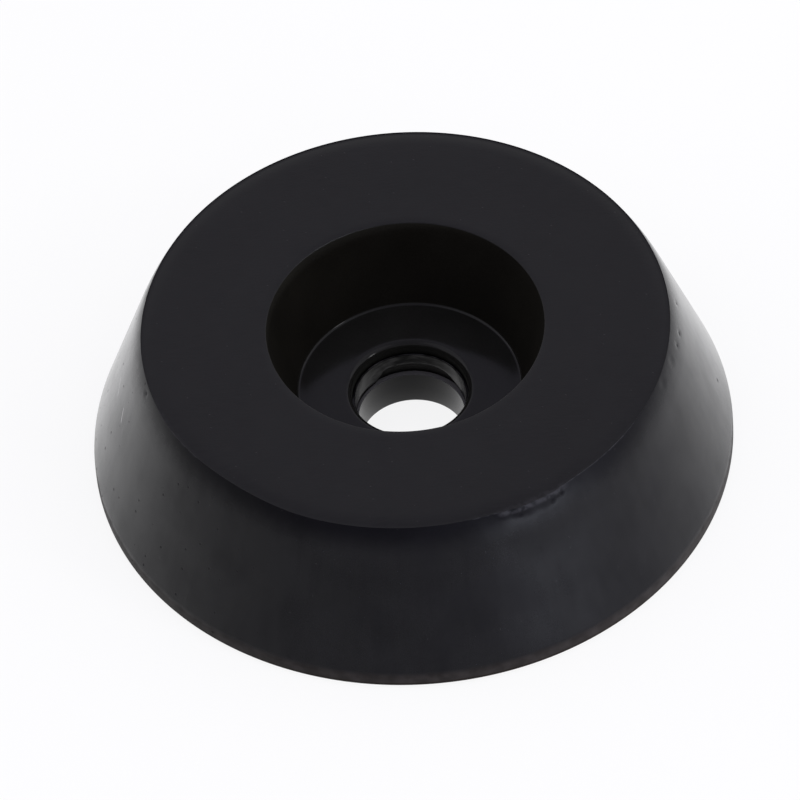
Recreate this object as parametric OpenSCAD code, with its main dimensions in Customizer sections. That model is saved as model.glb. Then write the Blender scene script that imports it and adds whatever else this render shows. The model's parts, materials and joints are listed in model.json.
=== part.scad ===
// Cone-shaped rubber foot with a recessed screw hole and a steel washer moulded in under the recess floor.
// The large face lies at z = 0, the axis is Z, and the small face with the recess points up.

/* [Foot] */
// Diameter of the large face, which goes against the furniture
base_d = 38; // [34:0.5:50]
// Diameter at which the straight wall would meet the small face
wall_top_d = 31.4; // [26:0.1:33.5]
// Height between the two flat faces
foot_h = 10.2; // [9:0.1:16]
// Height of the upright band round the large face
band_h = 0.9; // [0.3:0.1:3]
// Radius of the soft corner between that band and the wall
band_corner_r = 1.6; // [0.4:0.1:1.7]
// Height of the curve that bends the wall in below the small face
shoulder_h = 2; // [0.5:0.1:4]
// Radius of that curve
shoulder_r = 16; // [12:0.5:40]

/* [Recess] */
// Diameter of the recess at the small face
recess_mouth_d = 16.4; // [14:0.1:22]
// Diameter of the recess at its floor
recess_floor_d = 13.3; // [11:0.1:16]
// Depth of the recess
recess_depth = 5.5; // [3:0.1:6.8]
// Fillet between the recess floor and its wall
recess_fillet_r = 0.2; // [0.2:0.1:1.2]

/* [Screw hole] */
// Diameter of the hole below the washer
hole_d = 6.3; // [4:0.1:7.5]
// Diameter of the hole in the rubber that covers the washer
mouth_d = 6.9; // [6:0.1:9]
// Rounding of the hole's mouth at the recess floor
mouth_r = 0.4; // [0.1:0.05:0.7]

/* [Washer] */
// Outer diameter of the washer
washer_d = 12; // [10:0.5:20]
// Diameter of the washer's bore
washer_bore_d = 6.6; // [5:0.1:8]
// Thickness of the washer
washer_t = 1.6; // [1.1:0.1:2.4]
// Depth to which the punch sheared the bore smooth, from the upper side
washer_shear_h = 0.95; // [0.4:0.05:1.4]
// How far the bore widens where the metal broke away below
washer_break_w = 0.12; // [0.02:0.02:0.4]
// Thickness of the rubber that covers the washer
cover_t = 0.75; // [0.55:0.05:1.5]

/* [Hidden] */
$fn = 96;
// Straight steps that an arc of an outline is drawn with
arc_steps = 10;

base_r = base_d / 2;
wall_top_r = wall_top_d / 2;
wall_lean = atan((base_r - wall_top_r) / (foot_h - band_h));
band_corner_centre = [base_r - band_corner_r, band_h - band_corner_r * tan(wall_lean / 2)];
shoulder_z = foot_h - shoulder_h;
shoulder_start_r = wall_top_r + shoulder_h * tan(wall_lean);
shoulder_centre = [shoulder_start_r, shoulder_z] - shoulder_r * [cos(wall_lean), sin(wall_lean)];
shoulder_end = asin((foot_h - shoulder_centre.y) / shoulder_r);

recess_mouth_r = recess_mouth_d / 2;
recess_floor_r = recess_floor_d / 2;
recess_z = foot_h - recess_depth;
recess_lean = atan((recess_mouth_r - recess_floor_r) / recess_depth);
fillet_reach = recess_fillet_r * tan(45 - recess_lean / 2);
fillet_centre = [recess_floor_r - fillet_reach, recess_z + recess_fillet_r];

hole_r = hole_d / 2;
mouth_wall_r = mouth_d / 2;
mouth_centre = [mouth_wall_r + mouth_r, recess_z - mouth_r];

washer_r = washer_d / 2;
washer_bore_r = washer_bore_d / 2;
washer_top_z = recess_z - cover_t;
washer_z = washer_top_z - washer_t;
washer_shear_z = washer_top_z - washer_shear_h;

// Points of an arc about a centre, from one angle to another
function arc(centre, r, from, to) = [
    for (i = [0:arc_steps])
        let (a = from + (to - from) * i / arc_steps)
            centre + r * [cos(a), sin(a)]
];

// Half section of the moulding, anticlockwise from the foot of the screw hole
rubber_outline = concat(
    [[hole_r, 0], [base_r, 0]],
    arc(band_corner_centre, band_corner_r, 0, wall_lean),
    arc(shoulder_centre, shoulder_r, wall_lean, shoulder_end),
    [[recess_mouth_r, foot_h]],
    arc(fillet_centre, recess_fillet_r, -recess_lean, -90),
    arc(mouth_centre, mouth_r, 90, 180),
    [[mouth_wall_r, washer_top_z], [washer_r, washer_top_z]],
    [[washer_r, washer_z], [hole_r, washer_z]]
);

// Half section of the washer, with the bore sheared smooth above and broken away below
washer_outline = [
    [washer_bore_r + washer_break_w, washer_z],
    [washer_r, washer_z],
    [washer_r, washer_top_z],
    [washer_bore_r, washer_top_z],
    [washer_bore_r, washer_shear_z]
];

module rubber_body() {
    color([0.05, 0.05, 0.055])
        rotate_extrude()
            polygon(rubber_outline);
}

module steel_washer() {
    color([0.16, 0.16, 0.165])
        rotate_extrude()
            polygon(washer_outline);
}

rubber_body();
steel_washer();
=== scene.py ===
"""Looks of a cone-shaped rubber foot with a punched steel washer moulded in under its recess floor.

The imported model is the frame. Both pieces are turned again here, with the small roundings, trimming
marks and surface finishes that the real foot has. A piece is drawn in millimetres and is brought to
metres when it is finished.
"""

import json
import logging
import math
from collections.abc import Callable
from dataclasses import dataclass
from enum import Enum

import bmesh
import bpy
from mathutils import Matrix, Vector


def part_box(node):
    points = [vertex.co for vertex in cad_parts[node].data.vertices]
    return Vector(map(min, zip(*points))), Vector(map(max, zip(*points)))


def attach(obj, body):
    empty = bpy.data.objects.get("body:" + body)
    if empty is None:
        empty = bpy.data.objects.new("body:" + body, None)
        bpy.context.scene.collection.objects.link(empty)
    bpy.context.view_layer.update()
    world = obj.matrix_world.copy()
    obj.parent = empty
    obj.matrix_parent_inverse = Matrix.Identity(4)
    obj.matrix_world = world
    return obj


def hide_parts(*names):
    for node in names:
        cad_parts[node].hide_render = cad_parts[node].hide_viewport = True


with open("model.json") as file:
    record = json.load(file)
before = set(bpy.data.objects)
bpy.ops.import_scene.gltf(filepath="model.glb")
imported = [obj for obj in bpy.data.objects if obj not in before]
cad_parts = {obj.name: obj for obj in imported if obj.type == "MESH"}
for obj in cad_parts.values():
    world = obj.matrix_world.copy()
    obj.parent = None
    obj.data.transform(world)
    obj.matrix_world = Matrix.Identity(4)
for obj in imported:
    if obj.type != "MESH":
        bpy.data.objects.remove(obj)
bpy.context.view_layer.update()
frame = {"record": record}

MM = 0.001
BODY = "root"
LOG = logging.getLogger("rubber_foot")

Colour = tuple[float, float, float]
Span = tuple[float, float]
Socket = bpy.types.NodeSocket


class Zone(Enum):
    """Faces of the moulding that came off different faces of the mould, in the order of their slots."""

    SMALL_FACE = 0
    WALL = 1
    RECESS_WALL = 2
    RECESS_FLOOR = 3
    MOUTH = 4
    SCREW_HOLE = 5
    LARGE_FACE = 6


class SectionPen:
    """Draws a half section in the XZ plane by extruding one vertex after another, then spins it."""

    def __init__(self, name: str, r: float, z: float) -> None:
        """Starts a mesh that has one vertex.

        Args:
            name: Name of the piece.
            r: Radius of the first point.
            z: Height of the first point.
        """
        bpy.ops.object.select_all(action="DESELECT")
        bpy.ops.mesh.primitive_plane_add(size=1.0)
        self.piece = bpy.context.object
        self.piece.name = name
        self.piece.data.name = name
        self.start = Vector((r, 0.0, z))
        self.at = self.start.copy()
        bpy.ops.object.mode_set(mode="EDIT")
        bpy.ops.mesh.select_mode(type="VERT")
        bpy.ops.mesh.merge(type="CENTER")
        bpy.ops.transform.translate(value=self.start)

    def line_to(self, r: float, z: float, steps: int = 1) -> None:
        """Extrudes a straight stretch.

        Args:
            r: Radius of its end.
            z: Height of its end.
            steps: Number of edges.
        """
        end = Vector((r, 0.0, z))
        stride = (end - self.at) / steps
        for _ in range(steps):
            bpy.ops.mesh.extrude_region_move(TRANSFORM_OT_translate={"value": stride})
        self.at = end

    def arc(self, centre: Vector, radius: float, turn: Span, steps: int) -> None:
        """Extrudes a straight stretch to the start of an arc, and then the arc.

        Args:
            centre: Centre of the arc, as radius and height.
            radius: Radius of the arc.
            turn: Angles of its two ends, in degrees from the outward direction.
            steps: Number of edges of the arc.
        """
        first, last = turn
        for step in range(steps + 1):
            angle = math.radians(first + (last - first) * step / steps)
            self.line_to(centre.x + radius * math.cos(angle), centre.y + radius * math.sin(angle))

    def corner(self, r: float, z: float, after: tuple[float, float], radius: float, steps: int = 3) -> None:
        """Extrudes up to a corner and rounds it.

        Args:
            r: Radius of the sharp corner.
            z: Height of the sharp corner.
            after: The point that follows it, as radius and height.
            radius: Radius of the rounding.
            steps: Number of edges of the rounding.
        """
        tip = Vector((r, z))
        back = (Vector((self.at.x, self.at.z)) - tip).normalized()
        ahead = (Vector(after) - tip).normalized()
        half = back.angle(ahead) / 2
        middle = tip + (back + ahead).normalized() * radius / math.sin(half)
        first = (tip + back * radius / math.tan(half)) - middle
        last = (tip + ahead * radius / math.tan(half)) - middle
        start = math.atan2(first.y, first.x)
        sweep = (math.atan2(last.y, last.x) - start + math.pi) % math.tau - math.pi
        self.arc(middle, radius, (math.degrees(start), math.degrees(start + sweep)), steps)

    def spin(self, steps: int) -> bpy.types.Object:
        """Closes the section, spins it round the Z axis and welds the seams.

        Args:
            steps: Number of steps in a full turn.

        Returns:
            The piece, in edit mode and in millimetres.
        """
        self.line_to(self.start.x, self.start.z)
        bpy.ops.mesh.select_all(action="SELECT")
        bpy.ops.mesh.spin(steps=steps, angle=math.tau, center=(0, 0, 0), axis=(0, 0, 1))
        bpy.ops.mesh.select_all(action="SELECT")
        bpy.ops.mesh.remove_doubles(threshold=1e-4)
        bpy.ops.mesh.normals_make_consistent(inside=False)
        return self.piece


class EditBench:
    """Edit-mode selections and moves on one piece, in millimetres."""

    def __init__(self, piece: bpy.types.Object) -> None:
        """Takes a piece that is in edit mode.

        Args:
            piece: The piece to work on.
        """
        self.piece = piece

    def select_faces(self, test: Callable[[Vector, Vector], bool]) -> int:
        """Selects the faces that pass a test, and nothing else.

        Args:
            test: Takes a face's centre and its normal.

        Returns:
            Number of faces selected.
        """
        bpy.ops.mesh.select_mode(type="FACE")
        bpy.ops.mesh.select_all(action="DESELECT")
        mesh = bmesh.from_edit_mesh(self.piece.data)
        count = 0
        for face in mesh.faces:
            if test(face.calc_center_median(), face.normal):
                face.select_set(True)
                count += 1
        bmesh.update_edit_mesh(self.piece.data)
        return count

    def select_vertices(self, test: Callable[[Vector], bool]) -> int:
        """Selects the vertices that pass a test, and nothing else.

        Args:
            test: Takes a vertex's place.

        Returns:
            Number of vertices selected.
        """
        bpy.ops.mesh.select_mode(type="VERT")
        bpy.ops.mesh.select_all(action="DESELECT")
        mesh = bmesh.from_edit_mesh(self.piece.data)
        count = 0
        for vertex in mesh.verts:
            if test(vertex.co):
                vertex.select_set(True)
                count += 1
        mesh.select_flush_mode()
        bmesh.update_edit_mesh(self.piece.data)
        return count

    def nudge(self, place: Vector, move: Vector, reach: float) -> None:
        """Drags the vertex nearest to a place, with its surroundings following smoothly.

        Args:
            place: Where to take hold.
            move: How far to drag.
            reach: Radius of the surroundings that follow.
        """
        bpy.ops.mesh.select_mode(type="VERT")
        bpy.ops.mesh.select_all(action="DESELECT")
        mesh = bmesh.from_edit_mesh(self.piece.data)
        nearest = min(mesh.verts, key=lambda vertex: (vertex.co - place).length_squared)
        nearest.select_set(True)
        bmesh.update_edit_mesh(self.piece.data)
        bpy.ops.transform.translate(
            value=move,
            use_proportional_edit=True,
            proportional_edit_falloff="SMOOTH",
            proportional_size=reach,
        )

    def push_out(self, distance: Callable[[Vector], float]) -> None:
        """Moves each vertex away from the axis.

        Args:
            distance: Takes a vertex's place and says how far it moves.
        """
        mesh = bmesh.from_edit_mesh(self.piece.data)
        for vertex in mesh.verts:
            vertex.co += Vector((vertex.co.x, vertex.co.y, 0.0)).normalized() * distance(vertex.co)
        bmesh.update_edit_mesh(self.piece.data)

    def finish(self, smooth_below: float) -> None:
        """Brings the piece to metres, leaves edit mode and smooths its shading.

        Args:
            smooth_below: Angle in degrees up to which an edge shades smoothly.
        """
        bpy.ops.mesh.select_all(action="SELECT")
        bpy.ops.transform.resize(value=(MM, MM, MM), center_override=(0, 0, 0))
        bpy.ops.object.mode_set(mode="OBJECT")
        bpy.ops.object.shade_smooth_by_angle(angle=math.radians(smooth_below))


class NodeSheet:
    """A node tree, with short calls that add a node and hand back its output."""

    SPECK_EDGE = 0.5

    def __init__(self, tree: bpy.types.NodeTree) -> None:
        """Empties a node tree.

        Args:
            tree: Tree of a material or of the world.
        """
        self.tree = tree
        tree.nodes.clear()

    def node(self, kind: str, **settings: object) -> bpy.types.Node:
        """Adds a node.

        Args:
            kind: Blender's name for the node.
            settings: Properties to set on it.

        Returns:
            The node.
        """
        made = self.tree.nodes.new(kind)
        for name, value in settings.items():
            setattr(made, name, value)
        return made

    def feed(self, socket: Socket, value: object) -> None:
        """Sets a socket to a constant, or joins an output to it.

        Args:
            socket: The input.
            value: A number, a colour, a vector or another node's output.
        """
        if isinstance(value, bpy.types.NodeSocket):
            self.tree.links.new(value, socket)
        else:
            socket.default_value = value

    def math(self, operation: str, first: object, second: object = 0.0) -> Socket:
        """Adds a Math node.

        Args:
            operation: Its operation.
            first: First number or output.
            second: Second number or output.

        Returns:
            Its result.
        """
        made = self.node("ShaderNodeMath", operation=operation)
        self.feed(made.inputs[0], first)
        self.feed(made.inputs[1], second)
        return made.outputs[0]

    def times(self, first: object, second: object) -> Socket:
        """Multiplies two numbers or outputs."""
        return self.math("MULTIPLY", first, second)

    def plus(self, first: object, second: object) -> Socket:
        """Adds two numbers or outputs."""
        return self.math("ADD", first, second)

    def minus(self, first: object, second: object) -> Socket:
        """Takes the second number or output from the first."""
        return self.math("SUBTRACT", first, second)

    def larger(self, first: object, second: object) -> Socket:
        """Gives the larger of two numbers or outputs."""
        return self.math("MAXIMUM", first, second)

    def ramp(self, value: Socket, span: Span, result: Span = (0.0, 1.0)) -> Socket:
        """Maps a span of values to another, smoothly and held at both ends.

        Args:
            value: The output to map.
            span: Values at the two ends.
            result: What they become.

        Returns:
            The mapped value.
        """
        made = self.node("ShaderNodeMapRange", interpolation_type="SMOOTHSTEP")
        self.feed(made.inputs["Value"], value)
        for name, number in zip(("From Min", "From Max", "To Min", "To Max"), (*span, *result)):
            made.inputs[name].default_value = number
        return made.outputs["Result"]

    def noise(self, place: Socket, size: float, detail: float = 2.0) -> Socket:
        """Adds soft noise.

        Args:
            place: Coordinates.
            size: Size of its blobs, in the coordinates' unit.
            detail: How many finer layers it has.

        Returns:
            A value from 0 to 1.
        """
        made = self.node("ShaderNodeTexNoise")
        self.feed(made.inputs["Vector"], place)
        made.inputs["Scale"].default_value = 1.0 / size
        made.inputs["Detail"].default_value = detail
        return made.outputs[0]

    def specks(self, place: Socket, spacing: float, radius: float, share: float) -> Socket:
        """Scatters round specks of different sizes over a flat pattern.

        Args:
            place: Coordinates, of which X and Y count.
            spacing: Distance between the places that may hold a speck, in the coordinates' unit.
            radius: Largest radius of a speck.
            share: Share of those places that hold one.

        Returns:
            1 inside a speck and 0 between them.
        """
        cells = self.node("ShaderNodeTexVoronoi", voronoi_dimensions="2D")
        self.feed(cells.inputs["Vector"], place)
        cells.inputs["Scale"].default_value = 1.0 / spacing
        lot = self.node("ShaderNodeSeparateColor")
        self.feed(lot.inputs[0], cells.outputs["Color"])
        edge = radius / spacing
        reach = self.ramp(lot.outputs[0], (1.0 - share, 1.0), (0.0, edge))
        return self.ramp(self.minus(reach, cells.outputs["Distance"]), (0.0, edge * self.SPECK_EDGE))

    def axes(self, place: Socket) -> tuple[Socket, Socket, Socket]:
        """Splits coordinates.

        Args:
            place: The coordinates.

        Returns:
            X, Y and Z.
        """
        made = self.node("ShaderNodeSeparateXYZ")
        self.feed(made.inputs[0], place)
        return tuple(made.outputs)

    def point(self, x: object, y: object, z: object = 0.0) -> Socket:
        """Joins three numbers or outputs into coordinates.

        Args:
            x: First coordinate.
            y: Second coordinate.
            z: Third coordinate.

        Returns:
            The coordinates.
        """
        made = self.node("ShaderNodeCombineXYZ")
        for socket, value in zip(made.inputs, (x, y, z)):
            self.feed(socket, value)
        return made.outputs[0]

    def unrolled(self, place: Socket, radius: float) -> Socket:
        """Lays the wall of a turned piece flat, with the seam at its back.

        Args:
            place: Place on the piece.
            radius: Radius at which lengths along the wall stay true.

        Returns:
            Coordinates along and up the wall.
        """
        x, y, z = self.axes(place)
        turn = self.math("ARCTAN2", x, self.times(y, -1.0))
        return self.point(self.times(turn, radius), z)

    def millimetres(self) -> Socket:
        """Gives the place on the piece.

        Returns:
            Its coordinates in millimetres.
        """
        coordinates = self.node("ShaderNodeTexCoord")
        mapping = self.node("ShaderNodeMapping")
        self.feed(mapping.inputs["Vector"], coordinates.outputs["Object"])
        mapping.inputs["Scale"].default_value = (1 / MM, 1 / MM, 1 / MM)
        return mapping.outputs[0]

    def mix(self, share: object, first: object, second: object) -> Socket:
        """Mixes two colours.

        Args:
            share: Share of the second one.
            first: First colour.
            second: Second colour.

        Returns:
            The mixed colour.
        """
        made = self.node("ShaderNodeMix", data_type="RGBA")
        self.feed(made.inputs[0], share)
        self.feed(made.inputs[6], first)
        self.feed(made.inputs[7], second)
        return made.outputs[2]

    def spread(self, value: Socket, middle: float, half: float) -> Socket:
        """Turns a value from 0 to 1 into one that varies about a middle.

        Args:
            value: The output that varies.
            middle: What 0.5 becomes.
            half: How far the ends lie from it.

        Returns:
            The value.
        """
        return self.plus(self.times(value, 2 * half), middle - half)

    def relief(self, surface: bpy.types.Node, height: Socket) -> None:
        """Gives a shader a fine relief.

        Args:
            surface: The shader.
            height: Height of the relief in millimetres.
        """
        bump = self.node("ShaderNodeBump")
        bump.inputs["Distance"].default_value = MM
        self.feed(bump.inputs["Height"], height)
        self.feed(surface.inputs["Normal"], bump.outputs[0])


def start_material(name: str) -> tuple[bpy.types.Material, NodeSheet, bpy.types.Node]:
    """Starts a material that has one shader.

    Args:
        name: Name of the material.

    Returns:
        The material, its nodes and the shader.
    """
    material = bpy.data.materials.new(name)
    material.use_nodes = True
    sheet = NodeSheet(material.node_tree)
    surface = sheet.node("ShaderNodeBsdfPrincipled")
    output = sheet.node("ShaderNodeOutputMaterial")
    sheet.feed(output.inputs["Surface"], surface.outputs[0])
    return material, sheet, surface


def solid(colour: Colour) -> tuple[float, float, float, float]:
    """Gives a colour with full alpha."""
    return (*colour, 1.0)


@dataclass(frozen=True)
class Scratch:
    """A pale, straight scratch on the wall.

    Attributes:
        azimuth: Direction of its middle, in degrees from the -X side.
        height: Height of its middle.
        rise: Angle that it makes with the level, in degrees.
        length: Its length.
        width: Its width.
    """

    azimuth: float
    height: float
    rise: float
    length: float
    width: float = 0.055

    FULL_SHARE = 0.6

    def mask(self, sheet: NodeSheet, place: Socket, wall_r: float) -> Socket:
        """Marks the scratch on the wall.

        Args:
            sheet: The material's nodes.
            place: Place on the piece in millimetres.
            wall_r: Radius of the wall there.

        Returns:
            1 in the scratch and 0 beside it.
        """
        x, y, z = sheet.axes(place)
        turn = sheet.math("ARCTAN2", sheet.times(y, -1.0), sheet.times(x, -1.0))
        level = sheet.times(sheet.minus(turn, math.radians(self.azimuth)), wall_r)
        upright = sheet.minus(z, self.height)
        cosine, sine = math.cos(math.radians(self.rise)), math.sin(math.radians(self.rise))
        along = sheet.plus(sheet.times(level, cosine), sheet.times(upright, sine))
        across = sheet.minus(sheet.times(upright, cosine), sheet.times(level, sine))
        half = self.length / 2
        inside = sheet.ramp(sheet.math("ABSOLUTE", along), (half, half * self.FULL_SHARE))
        return sheet.times(inside, sheet.ramp(sheet.math("ABSOLUTE", across), (self.width, 0.0)))


@dataclass(frozen=True)
class EdgeScuffAndHighlight:
    """A stretch of the small face's edge that is painted pale: partly scuffing of the rubber, partly
    painted highlight on the trimmed flash and along the edge.

    Attributes:
        first: Direction of its first end, in degrees.
        last: Direction of its last end, in degrees.
        depth: How far it reaches down the wall.
        cover: Share of it that is pale.
    """

    first: float
    last: float
    depth: float
    cover: float

    # Pale colour of the patches: scuffing of the rubber, and painted highlight on the flash's facets and
    # along the edge.
    COLOUR = (0.021, 0.0203, 0.0225)
    FULL_SHARE = 0.4
    END_FADE = 2.0
    PATCH_SIZE = 0.3
    PATCH_FADE = 0.28
    BARE_BELOW = (0.55, 0.2)

    def mask(self, sheet: NodeSheet, place: Socket, edge_z: float) -> Socket:
        """Marks the pale patches.

        Args:
            sheet: The material's nodes.
            place: Place on the piece in millimetres.
            edge_z: Height of the edge.

        Returns:
            1 in a pale patch and 0 elsewhere.
        """
        x, y, z = sheet.axes(place)
        turn = sheet.math("ARCTAN2", y, x)
        fade = math.radians(self.END_FADE)
        first, last = math.radians(self.first), math.radians(self.last)
        inside = sheet.times(sheet.ramp(turn, (first, first + fade)), sheet.ramp(turn, (last, last - fade)))
        high = sheet.ramp(z, (edge_z - self.depth, edge_z - self.depth * self.FULL_SHARE))
        uncovered, covered = self.BARE_BELOW
        bare = uncovered + (covered - uncovered) * self.cover
        patches = sheet.ramp(sheet.noise(place, self.PATCH_SIZE), (bare, bare + self.PATCH_FADE))
        return sheet.times(sheet.times(inside, high), patches)


@dataclass(frozen=True)
class Nick:
    """A small dark pit at a known place of the wall.

    Attributes:
        azimuth: Direction from the axis, in degrees.
        height: Height above the large face.
        radius: Its radius.
    """

    azimuth: float
    height: float
    radius: float = 0.14

    FULL_SHARE = 0.3

    def mask(self, sheet: NodeSheet, place: Socket, wall_r: float) -> Socket:
        """Marks the pit.

        Args:
            sheet: The material's nodes.
            place: Place on the piece in millimetres.
            wall_r: Radius of the wall at its height.

        Returns:
            1 in the pit and 0 beside it.
        """
        turn = math.radians(self.azimuth)
        away = sheet.node("ShaderNodeVectorMath", operation="DISTANCE")
        sheet.feed(away.inputs[0], place)
        away.inputs[1].default_value = (wall_r * math.cos(turn), wall_r * math.sin(turn), self.height)
        return sheet.ramp(away.outputs["Value"], (self.radius, self.radius * self.FULL_SHARE))


@dataclass
class Layers:
    """What a material's marks add to.

    Attributes:
        colour: Colour of the surface.
        roughness: Its roughness.
        height: Its fine relief, in millimetres.
    """

    colour: Socket
    roughness: Socket
    height: Socket


@dataclass(frozen=True)
class RubberFinish:
    """Surface of one moulded face of the black rubber.

    Attributes:
        name: Name of the material.
        colour: Colour of the bare rubber.
        roughness: Middle roughness.
        roughness_spread: How far the roughness varies.
        grain_size: Size of the fine grain.
        grain_depth: Depth of the fine grain.
        dust_r: Largest radius of a dust speck.
        head_on_gloss: Share of the gloss that is left where the surface is seen head on.
        ior: Refractive index, which sets the gloss at grazing angles.
        wall_r: Radius of an upright wall, which its dust is laid out on, or 0 for a level face.
    """

    name: str
    colour: Colour = (0.0047, 0.0044, 0.0047)
    roughness: float = 0.42
    roughness_spread: float = 0.05
    grain_size: float = 0.12
    grain_depth: float = 0.004
    dust_r: float = 0.06
    head_on_gloss: float = 0.15
    ior: float = 1.6
    wall_r: float = 0.0

    DUST_COLOUR = (0.015, 0.0145, 0.015)
    DUST_STANDS = 0.12
    DUST_SPACING = 1.3
    DUST_SHARE = 0.6
    TONE_SIZE = 3.0
    TONE_RANGE = (0.4, 1.6)
    GRAIN_TONE = 0.5
    SMUDGE_SIZE = 1.6

    def make(self) -> bpy.types.Material:
        """Builds the material.

        Returns:
            The material.
        """
        material, sheet, surface = start_material(self.name)
        place = sheet.millimetres()
        surface.inputs["IOR"].default_value = self.ior
        surface.inputs["Specular Tint"].default_value = solid((self.head_on_gloss,) * 3)

        layers = self._bare(sheet, place)
        self._mark(sheet, place, layers, surface)
        sheet.feed(surface.inputs["Base Color"], layers.colour)
        sheet.feed(surface.inputs["Roughness"], layers.roughness)
        sheet.relief(surface, layers.height)
        return material

    def _bare(self, sheet: NodeSheet, place: Socket) -> Layers:
        """Makes the cloudy, grained and dusty rubber.

        Args:
            sheet: The material's nodes.
            place: Place on the piece in millimetres.

        Returns:
            Its layers.
        """
        cloud = sheet.noise(place, self.TONE_SIZE, 4.0)
        grain = sheet.noise(place, self.grain_size, 3.0)
        tone = sheet.plus(sheet.times(cloud, 1.0 - self.GRAIN_TONE), sheet.times(grain, self.GRAIN_TONE))
        dark, light = (tuple(part * share for part in self.colour) for share in self.TONE_RANGE)
        colour = sheet.mix(tone, solid(dark), solid(light))
        lie = sheet.unrolled(place, self.wall_r) if self.wall_r else place
        dust = sheet.specks(lie, self.DUST_SPACING, self.dust_r, self.DUST_SHARE)
        colour = sheet.mix(dust, colour, solid(self.DUST_COLOUR))
        smudge = sheet.noise(place, self.SMUDGE_SIZE, 5.0)
        roughness = sheet.spread(smudge, self.roughness, self.roughness_spread)
        height = sheet.times(grain, self.grain_depth)
        height = sheet.plus(height, sheet.times(dust, self.dust_r * self.DUST_STANDS))
        return Layers(colour, roughness, height)

    def _mark(self, sheet: NodeSheet, place: Socket, layers: Layers, surface: bpy.types.Node) -> None:
        """Adds the marks that only some faces have. A plain face has none.

        Args:
            sheet: The material's nodes; not used by a plain face.
            place: Place on the piece in millimetres; not used by a plain face.
            layers: Layers of the bare rubber, which the marks change; not used by a plain face.
            surface: The shader; not used by a plain face.
        """


@dataclass(frozen=True)
class CombedFinish(RubberFinish):
    """Surface of the small face, which has fine marks that run across it.

    Attributes:
        comb_length: Length of a mark.
        comb_width: Width of a mark.
        comb_tone: How far a mark changes the tone.
        edge_z: Height of the face.
        edge_r: Radius of its edge.
        scuffs_and_highlights: Pale stretches of the edge, partly scuffing and partly painted highlight.
    """

    comb_length: float = 1.3
    comb_width: float = 0.1
    comb_tone: float = 0.45
    edge_z: float = 10.2
    edge_r: float = 15.57
    scuffs_and_highlights: tuple[EdgeScuffAndHighlight, ...] = ()

    SCUFF_HIGHLIGHT_W = 0.3
    SCUFF_HIGHLIGHT_SHARE = 0.5
    COMB_EDGES = (0.35, 0.7)
    COMB_SHARE = 0.7
    COMB_ROUGHNESS = 0.03

    def _mark(self, sheet: NodeSheet, place: Socket, layers: Layers, surface: bpy.types.Node) -> None:
        """Adds the marks and the pale margin, which is partly scuffing and partly painted highlight.

        Args:
            sheet: The material's nodes.
            place: Place on the piece in millimetres.
            layers: Layers of the bare rubber, which the marks change.
            surface: The shader; not used.
        """
        x, y, _ = sheet.axes(place)
        from_axis = sheet.math("SQRT", sheet.plus(sheet.math("POWER", x, 2.0), sheet.math("POWER", y, 2.0)))
        margin = sheet.ramp(from_axis, (self.edge_r - self.SCUFF_HIGHLIGHT_W, self.edge_r), (0.0, self.SCUFF_HIGHLIGHT_SHARE))
        across = sheet.point(sheet.times(x, self.comb_width / self.comb_length), y)
        marks = sheet.ramp(sheet.noise(across, self.comb_width, 3.0), self.COMB_EDGES)
        pale = tuple(part * (1.0 + self.comb_tone) for part in self.colour)
        layers.colour = sheet.mix(sheet.times(marks, self.COMB_SHARE), layers.colour, solid(pale))
        # Pale patches on the edge's margin: scuffing, and painted highlight along the edge.
        for pale_patch in self.scuffs_and_highlights:
            mask = sheet.times(pale_patch.mask(sheet, place, self.edge_z), margin)
            layers.colour = sheet.mix(mask, layers.colour, solid(pale_patch.COLOUR))
        layers.roughness = sheet.plus(layers.roughness, sheet.spread(marks, 0.0, self.COMB_ROUGHNESS))


@dataclass(frozen=True)
class HoleFinish(RubberFinish):
    """Surface of the screw hole, with a pale ledge below the washer, painted as the highlight on the lower
    hole's top edge.

    Attributes:
        ledge_z: Height of the ledge.
    """

    ledge_z: float = 2.35

    # Pale colour of the ledge: a painted highlight on the lower hole's top edge.
    LEDGE_PAINTED_HIGHLIGHT = (0.07, 0.069, 0.068)
    LEDGE_H = 0.1
    LEDGE_ROUGHNESS = 0.35

    def _mark(self, sheet: NodeSheet, place: Socket, layers: Layers, surface: bpy.types.Node) -> None:
        """Paints the highlight on the ledge and makes the ledge rougher.

        Args:
            sheet: The material's nodes.
            place: Place on the piece in millimetres.
            layers: Layers of the bare rubber, which the marks change.
            surface: The shader; not used.
        """
        _, _, z = sheet.axes(place)
        # Marks the ledge and its rounding, where the highlight is painted.
        painted_ledge = sheet.ramp(z, (self.ledge_z - self.LEDGE_H, self.ledge_z - self.LEDGE_H / 3))
        layers.colour = sheet.mix(painted_ledge, layers.colour, solid(self.LEDGE_PAINTED_HIGHLIGHT))
        layers.roughness = sheet.plus(layers.roughness, sheet.times(painted_ledge, self.LEDGE_ROUGHNESS))


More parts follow.
